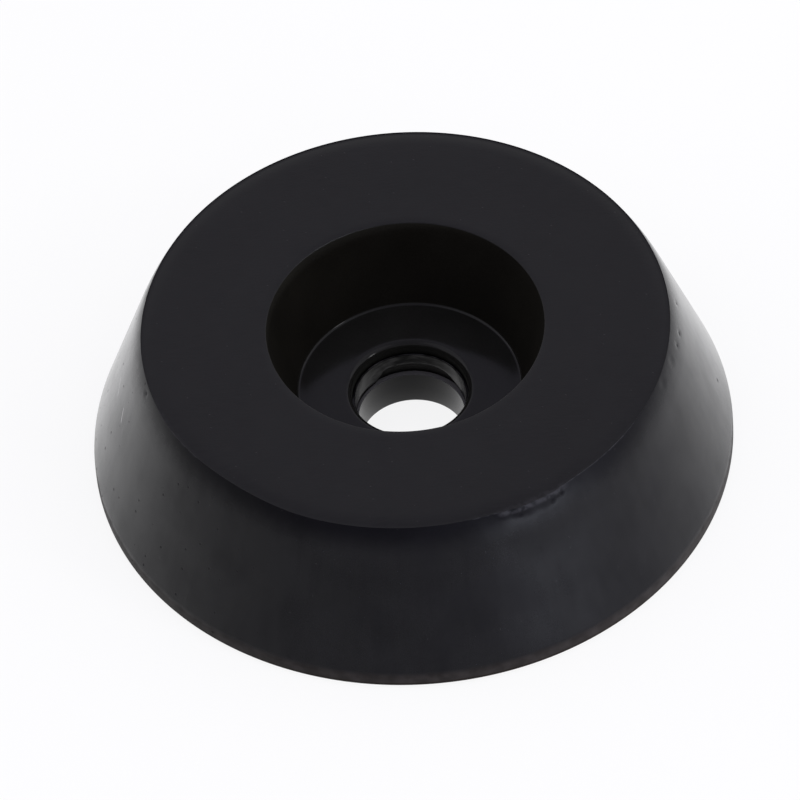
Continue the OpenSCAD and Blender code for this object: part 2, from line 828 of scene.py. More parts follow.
@dataclass(frozen=True)
class WallFinish(RubberFinish):
    """Surface of the cone's wall, which has a waxy bloom and carries the marks of trimming and use.

    Attributes:
        bloom: Weight of the waxy film.
        bloom_roughness: Roughness of the film.
        streak_depth: Depth of the faint marks that run up the wall.
        peel_depth: Depth of the uneven skin.
        pit_r: Largest radius of a pit.
        edge_z: Height of the small face's edge.
        rubbed_h: Height of the stretch below that edge in which the film is rubbed off.
        band_z: Height of the dust-covered band round the large face.
        scuffs_and_highlights: Pale stretches of the edge, partly scuffing and partly painted highlight.
        scratches: Scratches on the wall.
        nicks: Dark pits at known places, each with the wall's radius there.
    """

    bloom: float = 0.92
    bloom_roughness: float = 0.2
    streak_depth: float = 0.003
    peel_depth: float = 0.012
    pit_r: float = 0.1
    edge_z: float = 10.2
    rubbed_h: float = 1.9
    band_z: float = 0.95
    scuffs_and_highlights: tuple[EdgeScuffAndHighlight, ...] = ()
    scratches: tuple[Scratch, ...] = ()
    nicks: tuple[tuple[Nick, float], ...] = ()
    wall_r: float = 17.1

    BLOOM_IOR = 1.2
    BLOOM_SPREAD = 0.22
    CLOUD_SIZE = 2.6
    PIT_SPACING = 0.95
    PIT_SHARE = 0.5
    PEEL_SIZE = 1.1
    SCRATCH_COLOUR = (0.45, 0.44, 0.43)
    BAND_COLOUR = (0.0185, 0.0155, 0.0148)
    BAND_DARK = (0.009, 0.0074, 0.007)
    BAND_PATCH = 0.7
    BAND_ROUGHNESS = 0.3
    RIM_COLOUR = (0.004, 0.0018, 0.0012)
    RIM_Z = (0.36, 0.2)
    RUBBED_ROUGHNESS = 0.14
    RUBBED_LESS = ((-3.0, -12.0), (0.55, 0.0))
    PIT_ROUGHNESS = 0.5
    SCUFF_HIGHLIGHT_ROUGHNESS = 0.3
    PIT_BARE = 0.36
    PIT_DEEP = 0.08
    PITTED_X = (-8.0, -14.0)
    RAGGED_SIZE = 0.7
    RAGGED_H = 0.3
    EDGE_STRIP = 0.1
    BAND_RAGGED = 0.4
    BAND_FADE = 0.22
    DIRT_EDGES = (0.3, 0.72)
    CLOUD_EDGES = (0.3, 0.7)
    STREAK_SIZE = 0.04
    STREAK_RUN = 0.012

    def _mark(self, sheet: NodeSheet, place: Socket, layers: Layers, surface: bpy.types.Node) -> None:
        """Adds the film, the streaks, the pits, the rubbed edge, the dust-covered band, scuffing with
        painted highlights at the edge, and scratches.

        Args:
            sheet: The material's nodes.
            place: Place on the piece in millimetres.
            layers: Layers of the bare rubber, which the marks change.
            surface: The shader.
        """
        _, y, z = sheet.axes(place)
        streaks = self._streaks(sheet, place)
        pits = self._pits(sheet, place)
        ragged = sheet.spread(sheet.noise(place, self.RAGGED_SIZE, 4.0), 0.0, self.RAGGED_H)
        below_edge = sheet.minus(sheet.plus(z, ragged), sheet.ramp(y, *self.RUBBED_LESS))
        rubbed = sheet.ramp(below_edge, (self.edge_z - self.rubbed_h, self.edge_z - self.EDGE_STRIP))
        above_base = sheet.plus(z, sheet.times(ragged, self.BAND_RAGGED))
        band = sheet.ramp(above_base, (self.band_z + self.BAND_FADE, self.band_z - self.BAND_FADE))
        # Pale patches at the edge: scuffing, and painted highlight on the flash and along the edge.
        scuff_and_highlight = 0.0
        for pale_patch in self.scuffs_and_highlights:
            scuff_and_highlight = sheet.larger(pale_patch.mask(sheet, place, self.edge_z), scuff_and_highlight)

        rough = sheet.plus(layers.roughness, sheet.spread(streaks, 0.0, self.roughness_spread))
        for mask, step in (
            (pits, self.PIT_ROUGHNESS),
            (rubbed, self.RUBBED_ROUGHNESS),
            (band, self.BAND_ROUGHNESS),
            (scuff_and_highlight, self.SCUFF_HIGHLIGHT_ROUGHNESS),
        ):
            rough = sheet.plus(rough, sheet.times(mask, step))
        layers.roughness = rough
        peel = sheet.times(sheet.noise(place, self.PEEL_SIZE), self.peel_depth)
        relief = sheet.plus(sheet.times(streaks, self.streak_depth), peel)
        relief = sheet.plus(layers.height, relief)
        layers.height = sheet.minus(relief, sheet.times(pits, self.PIT_DEEP * self.pit_r))
        layers.colour = self._paint(sheet, place, layers.colour, band, scuff_and_highlight)
        bare = sheet.larger(sheet.times(pits, self.PIT_BARE), rubbed)
        bare = sheet.larger(sheet.larger(bare, band), scuff_and_highlight)
        self._lay_film(sheet, place, streaks, bare, surface)

    def _pits(self, sheet: NodeSheet, place: Socket) -> Socket:
        """Marks the pits on one side of the wall, and the nicks.

        Args:
            sheet: The material's nodes.
            place: Place on the piece in millimetres.

        Returns:
            1 in a pit and 0 between them.
        """
        x, _, _ = sheet.axes(place)
        flat = sheet.unrolled(place, self.wall_r)
        pits = sheet.specks(flat, self.PIT_SPACING, self.pit_r, self.PIT_SHARE)
        pits = sheet.times(pits, sheet.ramp(x, self.PITTED_X))
        for nick, wall_r in self.nicks:
            pits = sheet.larger(pits, nick.mask(sheet, place, wall_r))
        return pits

    def _paint(
        self, sheet: NodeSheet, place: Socket, rubber: Socket, band: Socket, scuff_and_highlight: Socket
    ) -> Socket:
        """Colours the dust-covered band, its dark rim, the scuffing with its painted highlights, and the
        scratches.

        Args:
            sheet: The material's nodes.
            place: Place on the piece in millimetres.
            rubber: Colour of the bare rubber.
            band: Marks the band.
            scuff_and_highlight: Marks the scuffing and the painted highlights.

        Returns:
            Colour of the wall.
        """
        _, _, z = sheet.axes(place)
        dirt = sheet.ramp(sheet.noise(place, self.BAND_PATCH, 4.0), self.DIRT_EDGES)
        dirt = sheet.mix(dirt, solid(self.BAND_DARK), solid(self.BAND_COLOUR))
        colour = sheet.mix(band, rubber, dirt)
        colour = sheet.mix(sheet.ramp(z, self.RIM_Z), colour, solid(self.RIM_COLOUR))
        # Paints the pale patches: scuffing, and painted highlight on the flash and along the edge.
        colour = sheet.mix(scuff_and_highlight, colour, solid(EdgeScuffAndHighlight.COLOUR))
        for scratch in self.scratches:
            mask = scratch.mask(sheet, place, self.wall_r)
            colour = sheet.mix(mask, colour, solid(self.SCRATCH_COLOUR))
        return colour

    def _lay_film(
        self, sheet: NodeSheet, place: Socket, streaks: Socket, bare: Socket, surface: bpy.types.Node
    ) -> None:
        """Lays the waxy film on the shader.

        Args:
            sheet: The material's nodes.
            place: Place on the piece in millimetres.
            streaks: The faint marks that run up the wall.
            bare: Marks the places that have lost the film.
            surface: The shader.
        """
        cloud = sheet.ramp(sheet.noise(place, self.CLOUD_SIZE, 4.0), self.CLOUD_EDGES)
        uneven = sheet.spread(streaks, 0.0, self.BLOOM_SPREAD)
        uneven = sheet.plus(uneven, sheet.spread(cloud, self.bloom, self.BLOOM_SPREAD / 2))
        film = sheet.times(sheet.minus(1.0, bare), uneven)
        film = sheet.math("MINIMUM", film, 1.0)
        surface.inputs["Coat Weight"].default_value = self.bloom
        surface.inputs["Coat IOR"].default_value = self.BLOOM_IOR
        surface.inputs["Coat Roughness"].default_value = self.bloom_roughness
        sheet.feed(surface.inputs["Coat Weight"], film)

    def _streaks(self, sheet: NodeSheet, place: Socket) -> Socket:
        """Makes the faint marks that run up the wall.

        Args:
            sheet: The material's nodes.
            place: Place on the piece in millimetres.

        Returns:
            A value from 0 to 1.
        """
        x, y, z = sheet.axes(place)
        azimuth = sheet.math("ARCTAN2", y, x)
        across = sheet.point(
            sheet.math("COSINE", azimuth), sheet.math("SINE", azimuth), sheet.times(z, self.STREAK_RUN)
        )
        return sheet.noise(across, self.STREAK_SIZE, 4.0)


TORN_ARCS = ((15.0, 58.0, 112.0, 130.0), (-160.0, -135.0, -80.0, -35.0))


def torn_share(azimuth: float) -> float:
    """Says how far up the washer's bore the metal tore, in one direction.

    Args:
        azimuth: Direction from the axis, in degrees.

    Returns:
        Share of the height at which it tore highest.
    """
    for first, full, lasting, last in TORN_ARCS:
        if first < azimuth < last:
            share = min((azimuth - first) / (full - first), (last - azimuth) / (last - lasting), 1.0)
            return share * share * (3.0 - 2.0 * share)
    return 0.0


@dataclass(frozen=True)
class SteelFinish:
    """Surface of the punched washer, in a steel colour far darker than bare steel: a scored, burnished bore
    above and torn metal below.

    Attributes:
        name: Name of the material.
        colour: Colour of the burnished steel.
        torn_colour: Colour of the torn steel.
        low_z: Height of the washer's lower face.
        torn_h: Height of the torn metal where it reaches highest.
        roughness: Roughness of the burnished steel.
        torn_roughness: Roughness of the torn steel.
        score_depth: Depth of the punch's score marks.
    """

    name: str
    low_z: float
    torn_h: float
    colour: Colour = (0.020, 0.0196, 0.020)
    torn_colour: Colour = (0.0145, 0.0141, 0.0138)
    roughness: float = 0.2
    torn_roughness: float = 0.5
    score_depth: float = 0.016

    EDGE_TINT = 0.85
    WAVE_SIZE = 1.2
    WAVE_H = 0.25
    SCORE_SIZE = 0.22
    SCORE_RUN = 0.25
    SCORE_EDGES = (0.38, 0.6)
    SCORE_ROUGHNESS = 0.1
    FLECK_SIZE = 0.3
    FLECK_EDGES = (0.36, 0.6)
    BLACK_SHARE = 0.2
    RAGGED_SIZE = 0.4
    RAGGED_H = 0.12
    TORN_FADE = 0.05
    TEAR_SIZE = 0.12
    TEAR_DEPTH = 0.05

    def make(self) -> bpy.types.Material:
        """Builds the material.

        Returns:
            The material.
        """
        material, sheet, surface = start_material(self.name)
        place = sheet.millimetres()
        surface.inputs["Metallic"].default_value = 1.0
        surface.inputs["Specular Tint"].default_value = solid((self.EDGE_TINT,) * 3)

        x, y, z = sheet.axes(place)
        wavy = sheet.plus(z, sheet.spread(sheet.noise(place, self.WAVE_SIZE), 0.0, self.WAVE_H))
        along = sheet.point(sheet.times(x, self.SCORE_RUN), sheet.times(y, self.SCORE_RUN), wavy)
        score = sheet.noise(along, self.SCORE_SIZE, 4.0)
        torn = self._torn(sheet, place)
        black = tuple(part * self.BLACK_SHARE for part in self.colour)
        flecks = sheet.ramp(sheet.noise(along, self.FLECK_SIZE, 3.0), self.FLECK_EDGES)
        shine = sheet.times(sheet.ramp(score, self.SCORE_EDGES), flecks)
        burnished = sheet.mix(shine, solid(black), solid(self.colour))
        sheet.feed(surface.inputs["Base Color"], sheet.mix(torn, burnished, solid(self.torn_colour)))
        rough = sheet.spread(score, self.roughness, self.SCORE_ROUGHNESS)
        rough_step = sheet.times(torn, self.torn_roughness - self.roughness)
        sheet.feed(surface.inputs["Roughness"], sheet.plus(rough, rough_step))
        tear = sheet.times(sheet.times(sheet.noise(place, self.TEAR_SIZE, 4.0), torn), self.TEAR_DEPTH)
        sheet.relief(surface, sheet.plus(sheet.times(score, self.score_depth), tear))
        return material

    def _torn(self, sheet: NodeSheet, place: Socket) -> Socket:
        """Marks the torn metal at the foot of the bore.

        Args:
            sheet: The material's nodes.
            place: Place on the piece in millimetres.

        Returns:
            1 on torn metal and 0 above it.
        """
        x, y, z = sheet.axes(place)
        turn = sheet.math("ARCTAN2", y, x)
        uneven = 0.0
        for arc in TORN_ARCS:
            first, full, lasting, last = (math.radians(angle) for angle in arc)
            share = sheet.times(sheet.ramp(turn, (first, full)), sheet.ramp(turn, (last, lasting)))
            uneven = sheet.plus(share, uneven)
        ragged = sheet.plus(z, sheet.spread(sheet.noise(place, self.RAGGED_SIZE, 3.0), 0.0, self.RAGGED_H))
        border = sheet.minus(ragged, sheet.times(uneven, self.torn_h))
        return sheet.ramp(border, (self.low_z + self.TORN_FADE, self.low_z - self.TORN_FADE))


@dataclass(frozen=True)
class WallFlaw:
    """A place near the top of the wall that stands out or is dented.

    Attributes:
        azimuth: Direction from the axis, in degrees.
        below: Distance below the small face.
        outward: How far it stands out, or is dented if negative.
        reach: Radius of the place.
    """

    azimuth: float
    below: float
    outward: float
    reach: float


EDGE_FLAWS = (
    WallFlaw(azimuth=-64.0, below=0.0, outward=0.12, reach=3.6),
    WallFlaw(azimuth=-134.0, below=0.0, outward=-0.16, reach=6.0),
    WallFlaw(azimuth=-72.0, below=0.12, outward=0.05, reach=0.6),
    WallFlaw(azimuth=-69.2, below=0.10, outward=0.07, reach=0.7),
    WallFlaw(azimuth=-66.5, below=0.15, outward=0.07, reach=0.8),
    WallFlaw(azimuth=-63.0, below=0.20, outward=0.06, reach=0.8),
    WallFlaw(azimuth=-59.8, below=0.18, outward=0.07, reach=0.6),
    WallFlaw(azimuth=4.0, below=1.1, outward=-0.03, reach=0.3),
    WallFlaw(azimuth=-4.5, below=1.1, outward=-0.04, reach=0.35),
    WallFlaw(azimuth=-8.5, below=0.95, outward=-0.03, reach=0.4),
    WallFlaw(azimuth=-14.0, below=0.6, outward=-0.03, reach=0.5),
    WallFlaw(azimuth=-21.0, below=0.5, outward=-0.03, reach=0.5),
    WallFlaw(azimuth=-167.8, below=0.42, outward=-0.04, reach=0.3),
)

# Pale stretches of the edge: scuffing of the rubber, and painted highlight on the trimmed flash and along
# the edge.
EDGE_SCUFFS_AND_HIGHLIGHTS = (
    EdgeScuffAndHighlight(first=-80.0, last=-72.0, depth=0.12, cover=0.6),
    EdgeScuffAndHighlight(first=-74.0, last=-56.0, depth=0.42, cover=0.6),
    EdgeScuffAndHighlight(first=-58.0, last=-34.0, depth=0.12, cover=0.7),
    EdgeScuffAndHighlight(first=-165.0, last=-143.0, depth=0.15, cover=0.6),
)

WALL_NICKS = (
    Nick(azimuth=-167.8, height=9.78, radius=0.18),
    Nick(azimuth=3.9, height=9.08),
    Nick(azimuth=-4.6, height=9.07, radius=0.18),
    Nick(azimuth=-8.5, height=9.24),
    Nick(azimuth=0.2, height=3.14, radius=0.2),
    Nick(azimuth=-68.6, height=9.61, radius=0.27),
    Nick(azimuth=-61.0, height=9.59, radius=0.3),
    Nick(azimuth=-58.4, height=9.74, radius=0.25),
)

WALL_SCRATCHES = (
    Scratch(azimuth=-1.8, height=6.24, rise=-41.0, length=1.4),
    Scratch(azimuth=5.9, height=6.25, rise=-60.0, length=1.1),
)


@dataclass
class RubberBody:
    """The moulding: cone, recess for the screw's head, screw hole and the washer's seat.

    Attributes:
        base_r: Radius of the large face.
        foot_h: Height between the two flat faces.
        hole_r: Radius of the hole below the washer.
        seat_r: Radius of the washer's seat.
        seat_z: Heights of the seat's lower and upper face.
        band_h: Height of the upright band round the large face.
        wall_top_r: Radius at which the straight wall would meet the small face.
        shoulder_h: Height of the curve below the small face.
        shoulder_r: Radius of that curve.
        recess_mouth_r: Radius of the recess at the small face.
        recess_floor_r: Radius of the recess at its floor.
        recess_depth: Depth of the recess.
        fillet_r: Fillet round the recess floor.
        mouth_wall_r: Radius of the hole in the rubber that covers the washer.
        mouth_r: Rounding of that hole's mouth.
        edge_r: Rounding of the large face's rim.
        band_r: Rounding between the upright band and the wall.
        crisp_r: Rounding of the crisp edges.
        lip_r: Rounding of the lower hole's edge below the washer.
        roll_w: Width of the small face's outer margin, which rolls down a little.
        roll_h: How far it rolls down.
        trim_r: Rounding of the small face's trimmed edge.
        spin_steps: Number of steps in a full turn.
    """

    base_r: float
    foot_h: float
    hole_r: float
    seat_r: float
    seat_z: Span
    band_h: float = 0.9
    wall_top_r: float = 15.7
    shoulder_h: float = 2.0
    shoulder_r: float = 16.0
    recess_mouth_r: float = 8.2
    recess_floor_r: float = 6.65
    recess_depth: float = 5.5
    fillet_r: float = 0.2
    mouth_wall_r: float = 3.45
    mouth_r: float = 0.4
    edge_r: float = 0.18
    band_r: float = 1.6
    crisp_r: float = 0.06
    lip_r: float = 0.06
    roll_w: float = 1.0
    roll_h: float = 0.1
    trim_r: float = 0.03
    spin_steps: int = 720

    NODE = "rubber_body"
    MATT_BELOW = 0.45
    LEVEL = 0.97
    NEAR = 0.02
    MOUTH_MARGIN = 0.2
    BAND_SHARE = 0.45
    WALL_SHARE = 0.97
    RECESS_SHARE = 0.9
    RIM_RUN = 1.0
    MOUTH_RUN = 0.5
    FLOOR_RUN = 0.2
    LEDGE_RUN = 0.4
    SHOULDER_STOP = 0.2
    ROLL_STEPS = (0.75, 0.5, 0.25, 0.0)

    def build(self) -> bpy.types.Object:
        """Models the moulding.

        Returns:
            The finished piece, which stands for the CAD node.
        """
        piece = self._turn()
        bench = EditBench(piece)
        self._sort_faces(bench)
        self._flaw_edge(bench)
        bench.finish(smooth_below=38.0)
        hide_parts(self.NODE)
        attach(piece, BODY)
        return piece

    def dress(self, piece: bpy.types.Object) -> None:
        """Gives each face of the mould its finish.

        Args:
            piece: The moulding.
        """
        finishes = {
            Zone.SMALL_FACE: CombedFinish(
                "rubber_small_face",
                colour=(0.0046, 0.0044, 0.0047),
                roughness=0.45,
                head_on_gloss=0.19,
                edge_z=self.foot_h,
                edge_r=self._wall_r(self.roll_h),
                scuffs_and_highlights=EDGE_SCUFFS_AND_HIGHLIGHTS,
            ),
            Zone.WALL: WallFinish(
                "rubber_wall",
                colour=(0.0036, 0.0034, 0.0043),
                roughness=0.23,
                roughness_spread=0.04,
                grain_depth=0.001,
                dust_r=0.04,
                head_on_gloss=0.08,
                ior=1.25,
                edge_z=self.foot_h,
                scuffs_and_highlights=EDGE_SCUFFS_AND_HIGHLIGHTS,
                scratches=WALL_SCRATCHES,
                nicks=tuple((nick, self._wall_r(self.foot_h - nick.height)) for nick in WALL_NICKS),
            ),
            # Painted shade: the recess wall's colour is warm and about twice the outer rubber's, so that it
            # gives the even, warm tone of the shaded recess.
            Zone.RECESS_WALL: RubberFinish(
                "rubber_recess_wall",
                colour=(0.0076, 0.007, 0.0057),
                roughness=0.7,
                dust_r=0.03,
                head_on_gloss=0.03,
                ior=1.12,
                wall_r=(self.recess_floor_r + self.recess_mouth_r) / 2,
            ),
            Zone.RECESS_FLOOR: RubberFinish(
                "rubber_recess_floor",
                colour=(0.0092, 0.0091, 0.0082),
                roughness=0.12,
                roughness_spread=0.06,
                grain_depth=0.0004,
                dust_r=0.03,
            ),
            Zone.MOUTH: RubberFinish(
                "rubber_mouth",
                colour=(0.009, 0.009, 0.0078),
                roughness=0.6,
                dust_r=0.02,
                head_on_gloss=0.03,
                ior=1.15,
                wall_r=self.mouth_wall_r,
            ),
            Zone.SCREW_HOLE: HoleFinish(
                "rubber_screw_hole",
                roughness=0.25,
                dust_r=0.03,
                ior=1.5,
                wall_r=self.hole_r,
                ledge_z=self.seat_z[0],
            ),
            Zone.LARGE_FACE: RubberFinish("rubber_large_face", roughness=0.45),
        }
        for zone in Zone:
            piece.data.materials[zone.value] = finishes[zone].make()

    def _shoulder(self) -> tuple[Vector, float, float]:
        """Works out the curve below the small face.

        Returns:
            Its centre and the angles of its lower and upper end, in degrees.
        """
        lean = math.atan((self.base_r - self.wall_top_r) / (self.foot_h - self.band_h))
        start_r = self.wall_top_r + self.shoulder_h * math.tan(lean)
        start_z = self.foot_h - self.shoulder_h
        centre = Vector((start_r, start_z)) - self.shoulder_r * Vector((math.cos(lean), math.sin(lean)))
        upper = math.asin((self.foot_h - centre.y) / self.shoulder_r)
        return centre, math.degrees(lean), math.degrees(upper)

    def _turn(self) -> bpy.types.Object:
        """Draws the half section and spins it.

        Returns:
            The piece, in edit mode.
        """
        centre, lean, upper = self._shoulder()
        top_r = centre.x + self.shoulder_r * math.cos(math.radians(upper))
        recess_z = self.foot_h - self.recess_depth
        recess_lean = math.atan((self.recess_mouth_r - self.recess_floor_r) / self.recess_depth)
        fillet_reach = self.fillet_r * math.tan(math.pi / 4 - recess_lean / 2)
        fillet_centre = Vector((self.recess_floor_r - fillet_reach, recess_z + self.fillet_r))
        mouth_centre = Vector((self.mouth_wall_r + self.mouth_r, recess_z - self.mouth_r))
        seat_low, seat_top = self.seat_z

        pen = SectionPen("rubber_moulding", self.hole_r, seat_low / 2)
        pen.corner(self.hole_r, 0.0, (self.base_r, 0.0), self.crisp_r)
        pen.line_to(self.base_r - self.RIM_RUN, 0.0, 6)
        pen.corner(self.base_r, 0.0, (self.base_r, self.band_h), self.edge_r, 4)
        pen.line_to(self.base_r, self.band_h * self.BAND_SHARE, 2)
        tilt = math.radians(lean)
        shoulder_start = centre + self.shoulder_r * Vector((math.cos(tilt), math.sin(tilt)))
        pen.corner(self.base_r, self.band_h, shoulder_start.to_tuple(), self.band_r, 6)
        wall_end = Vector((self.base_r, self.band_h)).lerp(shoulder_start, self.WALL_SHARE)
        pen.line_to(wall_end.x, wall_end.y, 12)
        pen.arc(centre, self.shoulder_r, (lean, upper - self.SHOULDER_STOP), 18)
        pen.corner(top_r, self.foot_h - self.roll_h, (top_r - self.roll_w, self.foot_h), self.trim_r, 2)
        for step in self.ROLL_STEPS:
            pen.line_to(top_r - self.roll_w * (1.0 - step), self.foot_h - self.roll_h * step**2)
        pen.line_to(self.recess_mouth_r + self.MOUTH_RUN, self.foot_h, 8)
        pen.corner(self.recess_mouth_r, self.foot_h, (self.recess_floor_r, recess_z), self.crisp_r)
        recess_mouth = Vector((self.recess_mouth_r, self.foot_h))
        recess_end = recess_mouth.lerp((self.recess_floor_r, recess_z), self.RECESS_SHARE)
        pen.line_to(recess_end.x, recess_end.y, 6)
        pen.arc(fillet_centre, self.fillet_r, (-math.degrees(recess_lean), -90.0), 8)
        pen.line_to(mouth_centre.x + self.FLOOR_RUN, recess_z, 7)
        pen.arc(mouth_centre, self.mouth_r, (90.0, 180.0), 12)
        pen.line_to(self.mouth_wall_r, seat_top, 2)
        pen.line_to(self.seat_r, seat_top, 2)
        pen.line_to(self.seat_r, seat_low, 2)
        pen.line_to(self.hole_r + self.LEDGE_RUN, seat_low, 2)
        pen.corner(self.hole_r, seat_low, (self.hole_r, 0.0), self.lip_r, 6)
        return pen.spin(self.spin_steps)

    def _sort_faces(self, bench: EditBench) -> None:
        """Assigns each face to the material slot of its zone.

        Args:
            bench: The piece's edit bench.
        """
        recess_z = self.foot_h - self.recess_depth
        _, seat_top = self.seat_z

        def zone_of(centre: Vector, normal: Vector) -> Zone:
            """Says which face of the mould a mesh face came off.

            Args:
                centre: Centre of the mesh face.
                normal: Its normal.

            Returns:
                Its zone.
            """
            from_axis = math.hypot(centre.x, centre.y)
            if normal.z > self.LEVEL and centre.z > self.foot_h - self.roll_h - self.NEAR:
                return Zone.SMALL_FACE
            if normal.z < -self.LEVEL and centre.z < self.NEAR:
                return Zone.LARGE_FACE
            if from_axis > self.recess_mouth_r + self.MOUTH_MARGIN:
                return Zone.WALL
            if centre.z > self.foot_h - self.crisp_r * 2:
                return Zone.SMALL_FACE
            if centre.z < seat_top + self.NEAR:
                return Zone.SCREW_HOLE
            if normal.z > self.MATT_BELOW:
                return Zone.RECESS_FLOOR
            return Zone.MOUTH if centre.z < recess_z else Zone.RECESS_WALL

        for zone in Zone:
            bench.piece.data.materials.append(None)
            bench.select_faces(lambda centre, normal, wanted=zone: zone_of(centre, normal) is wanted)
            bench.piece.active_material_index = zone.value
            bpy.ops.object.material_slot_assign()

    def _wall_r(self, below: float) -> float:
        """Gives the wall's radius above the band.

        Args:
            below: Distance below the small face.

        Returns:
            The radius there.
        """
        centre, lean, _ = self._shoulder()
        if below > self.shoulder_h:
            return self.wall_top_r + below * math.tan(math.radians(lean))
        rise = self.foot_h - below - centre.y
        return centre.x + math.sqrt(self.shoulder_r**2 - rise**2)

    def _flaw_edge(self, bench: EditBench) -> None:
        """Dents and bulges the wall below the small face, as trimming and use left it.

        Args:
            bench: The piece's edit bench.
        """
        for flaw in EDGE_FLAWS:
            angle = math.radians(flaw.azimuth)
            out = Vector((math.cos(angle), math.sin(angle), 0.0))
            place = out * self._wall_r(flaw.below) + Vector((0.0, 0.0, self.foot_h - flaw.below))
            bench.nudge(place, out * flaw.outward, flaw.reach)


@dataclass
class SteelWasher:
    """The washer that spreads the screw's load in the rubber.

    Attributes:
        outer_r: Outer radius.
        low_z: Height of its lower face.
        top_z: Height of its upper face.
        bore_r: Radius of its bore.
        shear_h: Depth to which the punch sheared the bore smooth.
        break_w: How far the bore widens where the metal broke away.
        roll_r: Rounding of the bore's upper edge, which the punch drew in.
        spin_steps: Number of steps in a full turn.
    """

    outer_r: float
    low_z: float
    top_z: float
    bore_r: float = 3.3
    shear_h: float = 0.95
    break_w: float = 0.12
    roll_r: float = 0.06
    spin_steps: int = 480

    NODE = "steel_washer"
    TORN_REACH = 1.2
    BREAK_RISE = 0.2
    TEAR_OFFSET = 0.035
    TEAR_SEED = 11
    TORN_FROM = 0.01
    LAST_EDGE = 0.02
    AT_BORE = 0.001

    @property
    def torn_h(self) -> float:
        """Height of the torn metal where it reaches highest."""
        return (self.top_z - self.shear_h - self.low_z) * self.TORN_REACH

    def build(self) -> bpy.types.Object:
        """Models the washer.

        Returns:
            The finished piece, which stands for the CAD node.
        """
        shear_z = self.top_z - self.shear_h
        pen = SectionPen("punched_washer", self.bore_r, self.low_z)
        pen.line_to(self.outer_r, self.low_z, 4)
        pen.line_to(self.outer_r, self.top_z, 2)
        pen.line_to(self.bore_r + self.roll_r * 2, self.top_z, 4)
        pen.corner(self.bore_r, self.top_z, (self.bore_r, shear_z), self.roll_r, 6)
        pen.line_to(self.bore_r, shear_z, 8)
        pen.line_to(self.bore_r, self.low_z + self.LAST_EDGE, 10)
        piece = pen.spin(self.spin_steps)
        bench = EditBench(piece)
        bench.push_out(self._broken_away)
        lowest = self.low_z + self.TORN_FROM
        bench.select_vertices(lambda place: self._broken_away(place) > self.TORN_FROM and place.z > lowest)
        bpy.ops.transform.vertex_random(
            offset=self.TEAR_OFFSET, uniform=0.0, normal=0.0, seed=self.TEAR_SEED
        )
        bench.finish(smooth_below=50.0)
        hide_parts(self.NODE)
        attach(piece, BODY)
        return piece

    def _broken_away(self, place: Vector) -> float:
        """Says how far the metal broke away from the bore at a place.

        Args:
            place: A place on the washer.

        Returns:
            Distance by which the bore is wider there.
        """
        if math.hypot(place.x, place.y) > self.bore_r + self.AT_BORE:
            return 0.0
        share = torn_share(math.degrees(math.atan2(place.y, place.x)))
        below = self.low_z + self.torn_h * share - place.z
        return self.break_w * min(max(below, 0.0) / self.BREAK_RISE, 1.0)

    def dress(self, piece: bpy.types.Object) -> None:
        """Gives the washer its finish.

        Args:
            piece: The washer.
        """
        piece.data.materials.append(SteelFinish("punched_steel", self.low_z, self.torn_h).make())


@dataclass(frozen=True)
class SoftLamp:
    """A soft lamp that faces the foot, square or a level strip.

    Attributes:
        name: Name of the lamp.
        azimuth: Direction from the foot, in degrees.
        height: Angle above the horizon, in degrees.
        away: Distance from the foot.
        size: Its width.
        power: Power in watts.
        tall: Height of a strip, or 0 for a square lamp.
        colour: Colour of its light.
    """

    name: str
    azimuth: float
    height: float
    away: float
    size: float
    power: float
    tall: float = 0.0
    colour: Colour = (1.0, 1.0, 1.0)

    def hang(self) -> None:
        """Adds the lamp to the scene."""
        bpy.ops.object.light_add(type="AREA")
        lamp = bpy.context.object
        lamp.name = self.name
        lamp.data.shape = "RECTANGLE"
        lamp.data.size = self.size * MM
        lamp.data.size_y = (self.tall or self.size) * MM
        lamp.data.energy = self.power
        lamp.data.color = self.colour
        turn, rise = math.radians(self.azimuth), math.radians(self.height)
        out = Vector((math.cos(turn) * math.cos(rise), math.sin(turn) * math.cos(rise), math.sin(rise)))
        lamp.location = out * self.away * MM
        lamp.rotation_mode = "QUATERNION"
        lamp.rotation_quaternion = out.to_track_quat("Z", "Y")


LAMPS = (
    SoftLamp("right_lamp", azimuth=0.0, height=50.0, away=800.0, size=800.0, power=1.4),
    SoftLamp("left_lamp", azimuth=180.0, height=50.0, away=800.0, size=800.0, power=1.4),
    SoftLamp("key_lamp", azimuth=-26.0, height=34.0, away=600.0, size=100.0, power=0.4),
    SoftLamp(
        "low_lamp",
        azimuth=-47.0,
        height=2.0,
        away=500.0,
        size=260.0,
        power=3.4,
        tall=30.0,
        colour=(0.82, 0.87, 1.0),
    ),
)


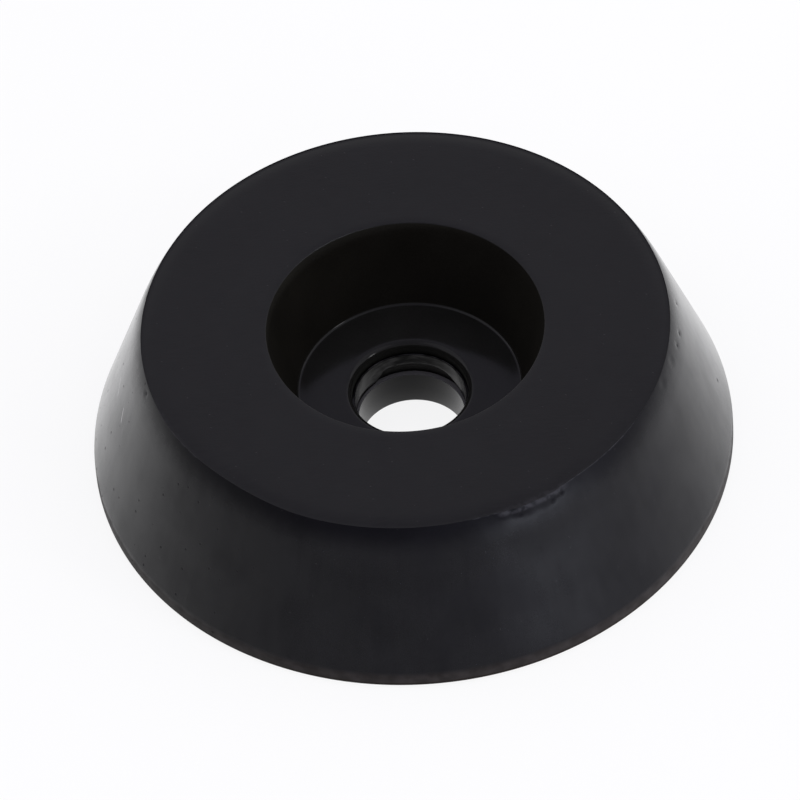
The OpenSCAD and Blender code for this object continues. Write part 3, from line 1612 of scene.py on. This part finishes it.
@dataclass
class Studio:
    """Floor, soft light and camera.

    Attributes:
        floor_r: Radius of the floor.
        floor_drop: How far the floor lies below the foot.
        floor_glow: Share of the floor's white that holds in shadow.
        ceiling: Colour of the ceiling.
        dark: Colour of the room behind the camera.
        dark_azimuth: Direction of that room, in degrees.
        elevation: Camera's angle above the horizon, in degrees.
        distance: Camera's distance from its target.
        lens: Focal length on the sensor.
        sensor: Width of the sensor.
        target: Point that the camera looks at.
        roll: Camera's turn about its own axis, in degrees.
        clip: Nearest and farthest distance that the camera sees.
    """

    floor_r: float = 3000.0
    floor_drop: float = 0.02
    floor_glow: float = 0.86
    ceiling: Colour = (0.62, 0.60, 0.76)
    dark: Colour = (0.06, 0.06, 0.065)
    dark_azimuth: float = -110.0
    elevation: float = 48.59
    distance: float = 571.5
    lens: float = 434.46
    sensor: float = 36.0
    target: tuple[float, float, float] = (-0.638, 0.0, 3.683)
    roll: float = -4.5
    clip: Span = (10.0, 10000.0)

    WHITE = (1.0, 1.0, 1.0)
    FLOOR_COLOUR = (0.9, 0.9, 0.9)
    CEILING_FROM = (0.3, 0.75)
    DARK_RISES = (0.0, 0.06)
    DARK_ENDS = (0.45, 0.25)
    DARK_SIDES = (0.4, 0.8)

    def build(self) -> None:
        """Sets the stage."""
        self._floor()
        self._world()
        for lamp in LAMPS:
            lamp.hang()
        self._camera()
        bpy.context.scene.view_settings.view_transform = "Standard"

    def _floor(self) -> None:
        """Lays a white floor that keeps a faint shadow."""
        bpy.ops.object.select_all(action="DESELECT")
        bpy.ops.mesh.primitive_circle_add(vertices=96, radius=self.floor_r * MM, fill_type="NGON")
        floor = bpy.context.object
        floor.name = "floor"
        floor.location.z = -self.floor_drop * MM
        material = bpy.data.materials.new("floor_white")
        material.use_nodes = True
        sheet = NodeSheet(material.node_tree)
        rays = sheet.node("ShaderNodeLightPath")
        seen = sheet.larger(rays.outputs["Is Camera Ray"], rays.outputs["Is Glossy Ray"])
        seen = sheet.larger(seen, rays.outputs["Is Transmission Ray"])
        lit = sheet.node("ShaderNodeBsdfDiffuse")
        lit.inputs["Color"].default_value = solid(self.FLOOR_COLOUR)
        glow = sheet.node("ShaderNodeEmission")
        glow.inputs["Color"].default_value = solid(self.WHITE)
        top = sheet.node("ShaderNodeMixShader")
        sheet.feed(top.inputs[0], sheet.times(seen, self.floor_glow))
        sheet.feed(top.inputs[1], lit.outputs[0])
        sheet.feed(top.inputs[2], glow.outputs[0])
        side = sheet.node("ShaderNodeNewGeometry")
        clear = sheet.node("ShaderNodeBsdfTransparent")
        both = sheet.node("ShaderNodeMixShader")
        sheet.feed(both.inputs[0], side.outputs["Backfacing"])
        sheet.feed(both.inputs[1], top.outputs[0])
        sheet.feed(both.inputs[2], clear.outputs[0])
        output = sheet.node("ShaderNodeOutputMaterial")
        sheet.feed(output.inputs["Surface"], both.outputs[0])
        floor.data.materials.append(material)

    def _world(self) -> None:
        """Surrounds the foot with a white horizon, a grey ceiling and a dark side behind the camera."""
        world = bpy.data.worlds.new("studio")
        bpy.context.scene.world = world
        world.use_nodes = True
        sheet = NodeSheet(world.node_tree)
        coordinates = sheet.node("ShaderNodeTexCoord")
        x, y, z = sheet.axes(coordinates.outputs["Generated"])
        ceiling = sheet.mix(sheet.ramp(z, self.CEILING_FROM), solid(self.WHITE), solid(self.ceiling))
        dark_x = math.cos(math.radians(self.dark_azimuth))
        dark_y = math.sin(math.radians(self.dark_azimuth))
        towards = sheet.plus(sheet.times(x, dark_x), sheet.times(y, dark_y))
        low = sheet.times(sheet.ramp(z, self.DARK_RISES), sheet.ramp(z, self.DARK_ENDS))
        behind_camera = sheet.times(sheet.ramp(towards, self.DARK_SIDES), low)
        shade = sheet.mix(behind_camera, ceiling, solid(self.dark))
        background = sheet.node("ShaderNodeBackground")
        sheet.feed(background.inputs["Color"], shade)
        output = sheet.node("ShaderNodeOutputWorld")
        sheet.feed(output.inputs["Surface"], background.outputs[0])

    def _camera(self) -> None:
        """Sets the camera at the viewing angle."""
        rise, roll = math.radians(self.elevation), math.radians(self.roll)
        back = Vector((0.0, -math.cos(rise), math.sin(rise)))
        flat_right = Vector((1.0, 0.0, 0.0))
        flat_up = Vector((0.0, math.sin(rise), math.cos(rise)))
        right = math.cos(roll) * flat_right + math.sin(roll) * flat_up
        up = math.cos(roll) * flat_up - math.sin(roll) * flat_right
        eye = (Vector(self.target) + back * self.distance) * MM
        bpy.ops.object.camera_add()
        camera = bpy.context.object
        camera.name = "camera"
        camera.matrix_world = Matrix.Translation(eye) @ Matrix((right, up, back)).transposed().to_4x4()
        camera.data.sensor_width = self.sensor
        camera.data.lens = self.lens
        nearest, farthest = self.clip
        camera.data.clip_start = nearest * MM
        camera.data.clip_end = farthest * MM
        bpy.context.scene.camera = camera


def main() -> None:
    """Builds the foot and its stage."""
    logging.basicConfig(level=logging.INFO, format="%(name)s: %(message)s")
    low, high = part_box(RubberBody.NODE)
    washer_low, washer_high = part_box(SteelWasher.NODE)
    hole = next(mount for mount in frame["record"]["mounts"] if mount["name"] == "screw_hole")
    washer = SteelWasher(outer_r=washer_high.x / MM, low_z=washer_low.z / MM, top_z=washer_high.z / MM)
    body = RubberBody(
        base_r=high.x / MM,
        foot_h=(high.z - low.z) / MM,
        hole_r=hole["dims"]["r_mm"],
        seat_r=washer.outer_r,
        seat_z=(washer.low_z, washer.top_z),
    )
    for part in (body, washer):
        piece = part.build()
        part.dress(piece)
        LOG.info("%s: %d faces", piece.name, len(piece.data.polygons))
    Studio().build()


if __name__ == "__main__":
    main()
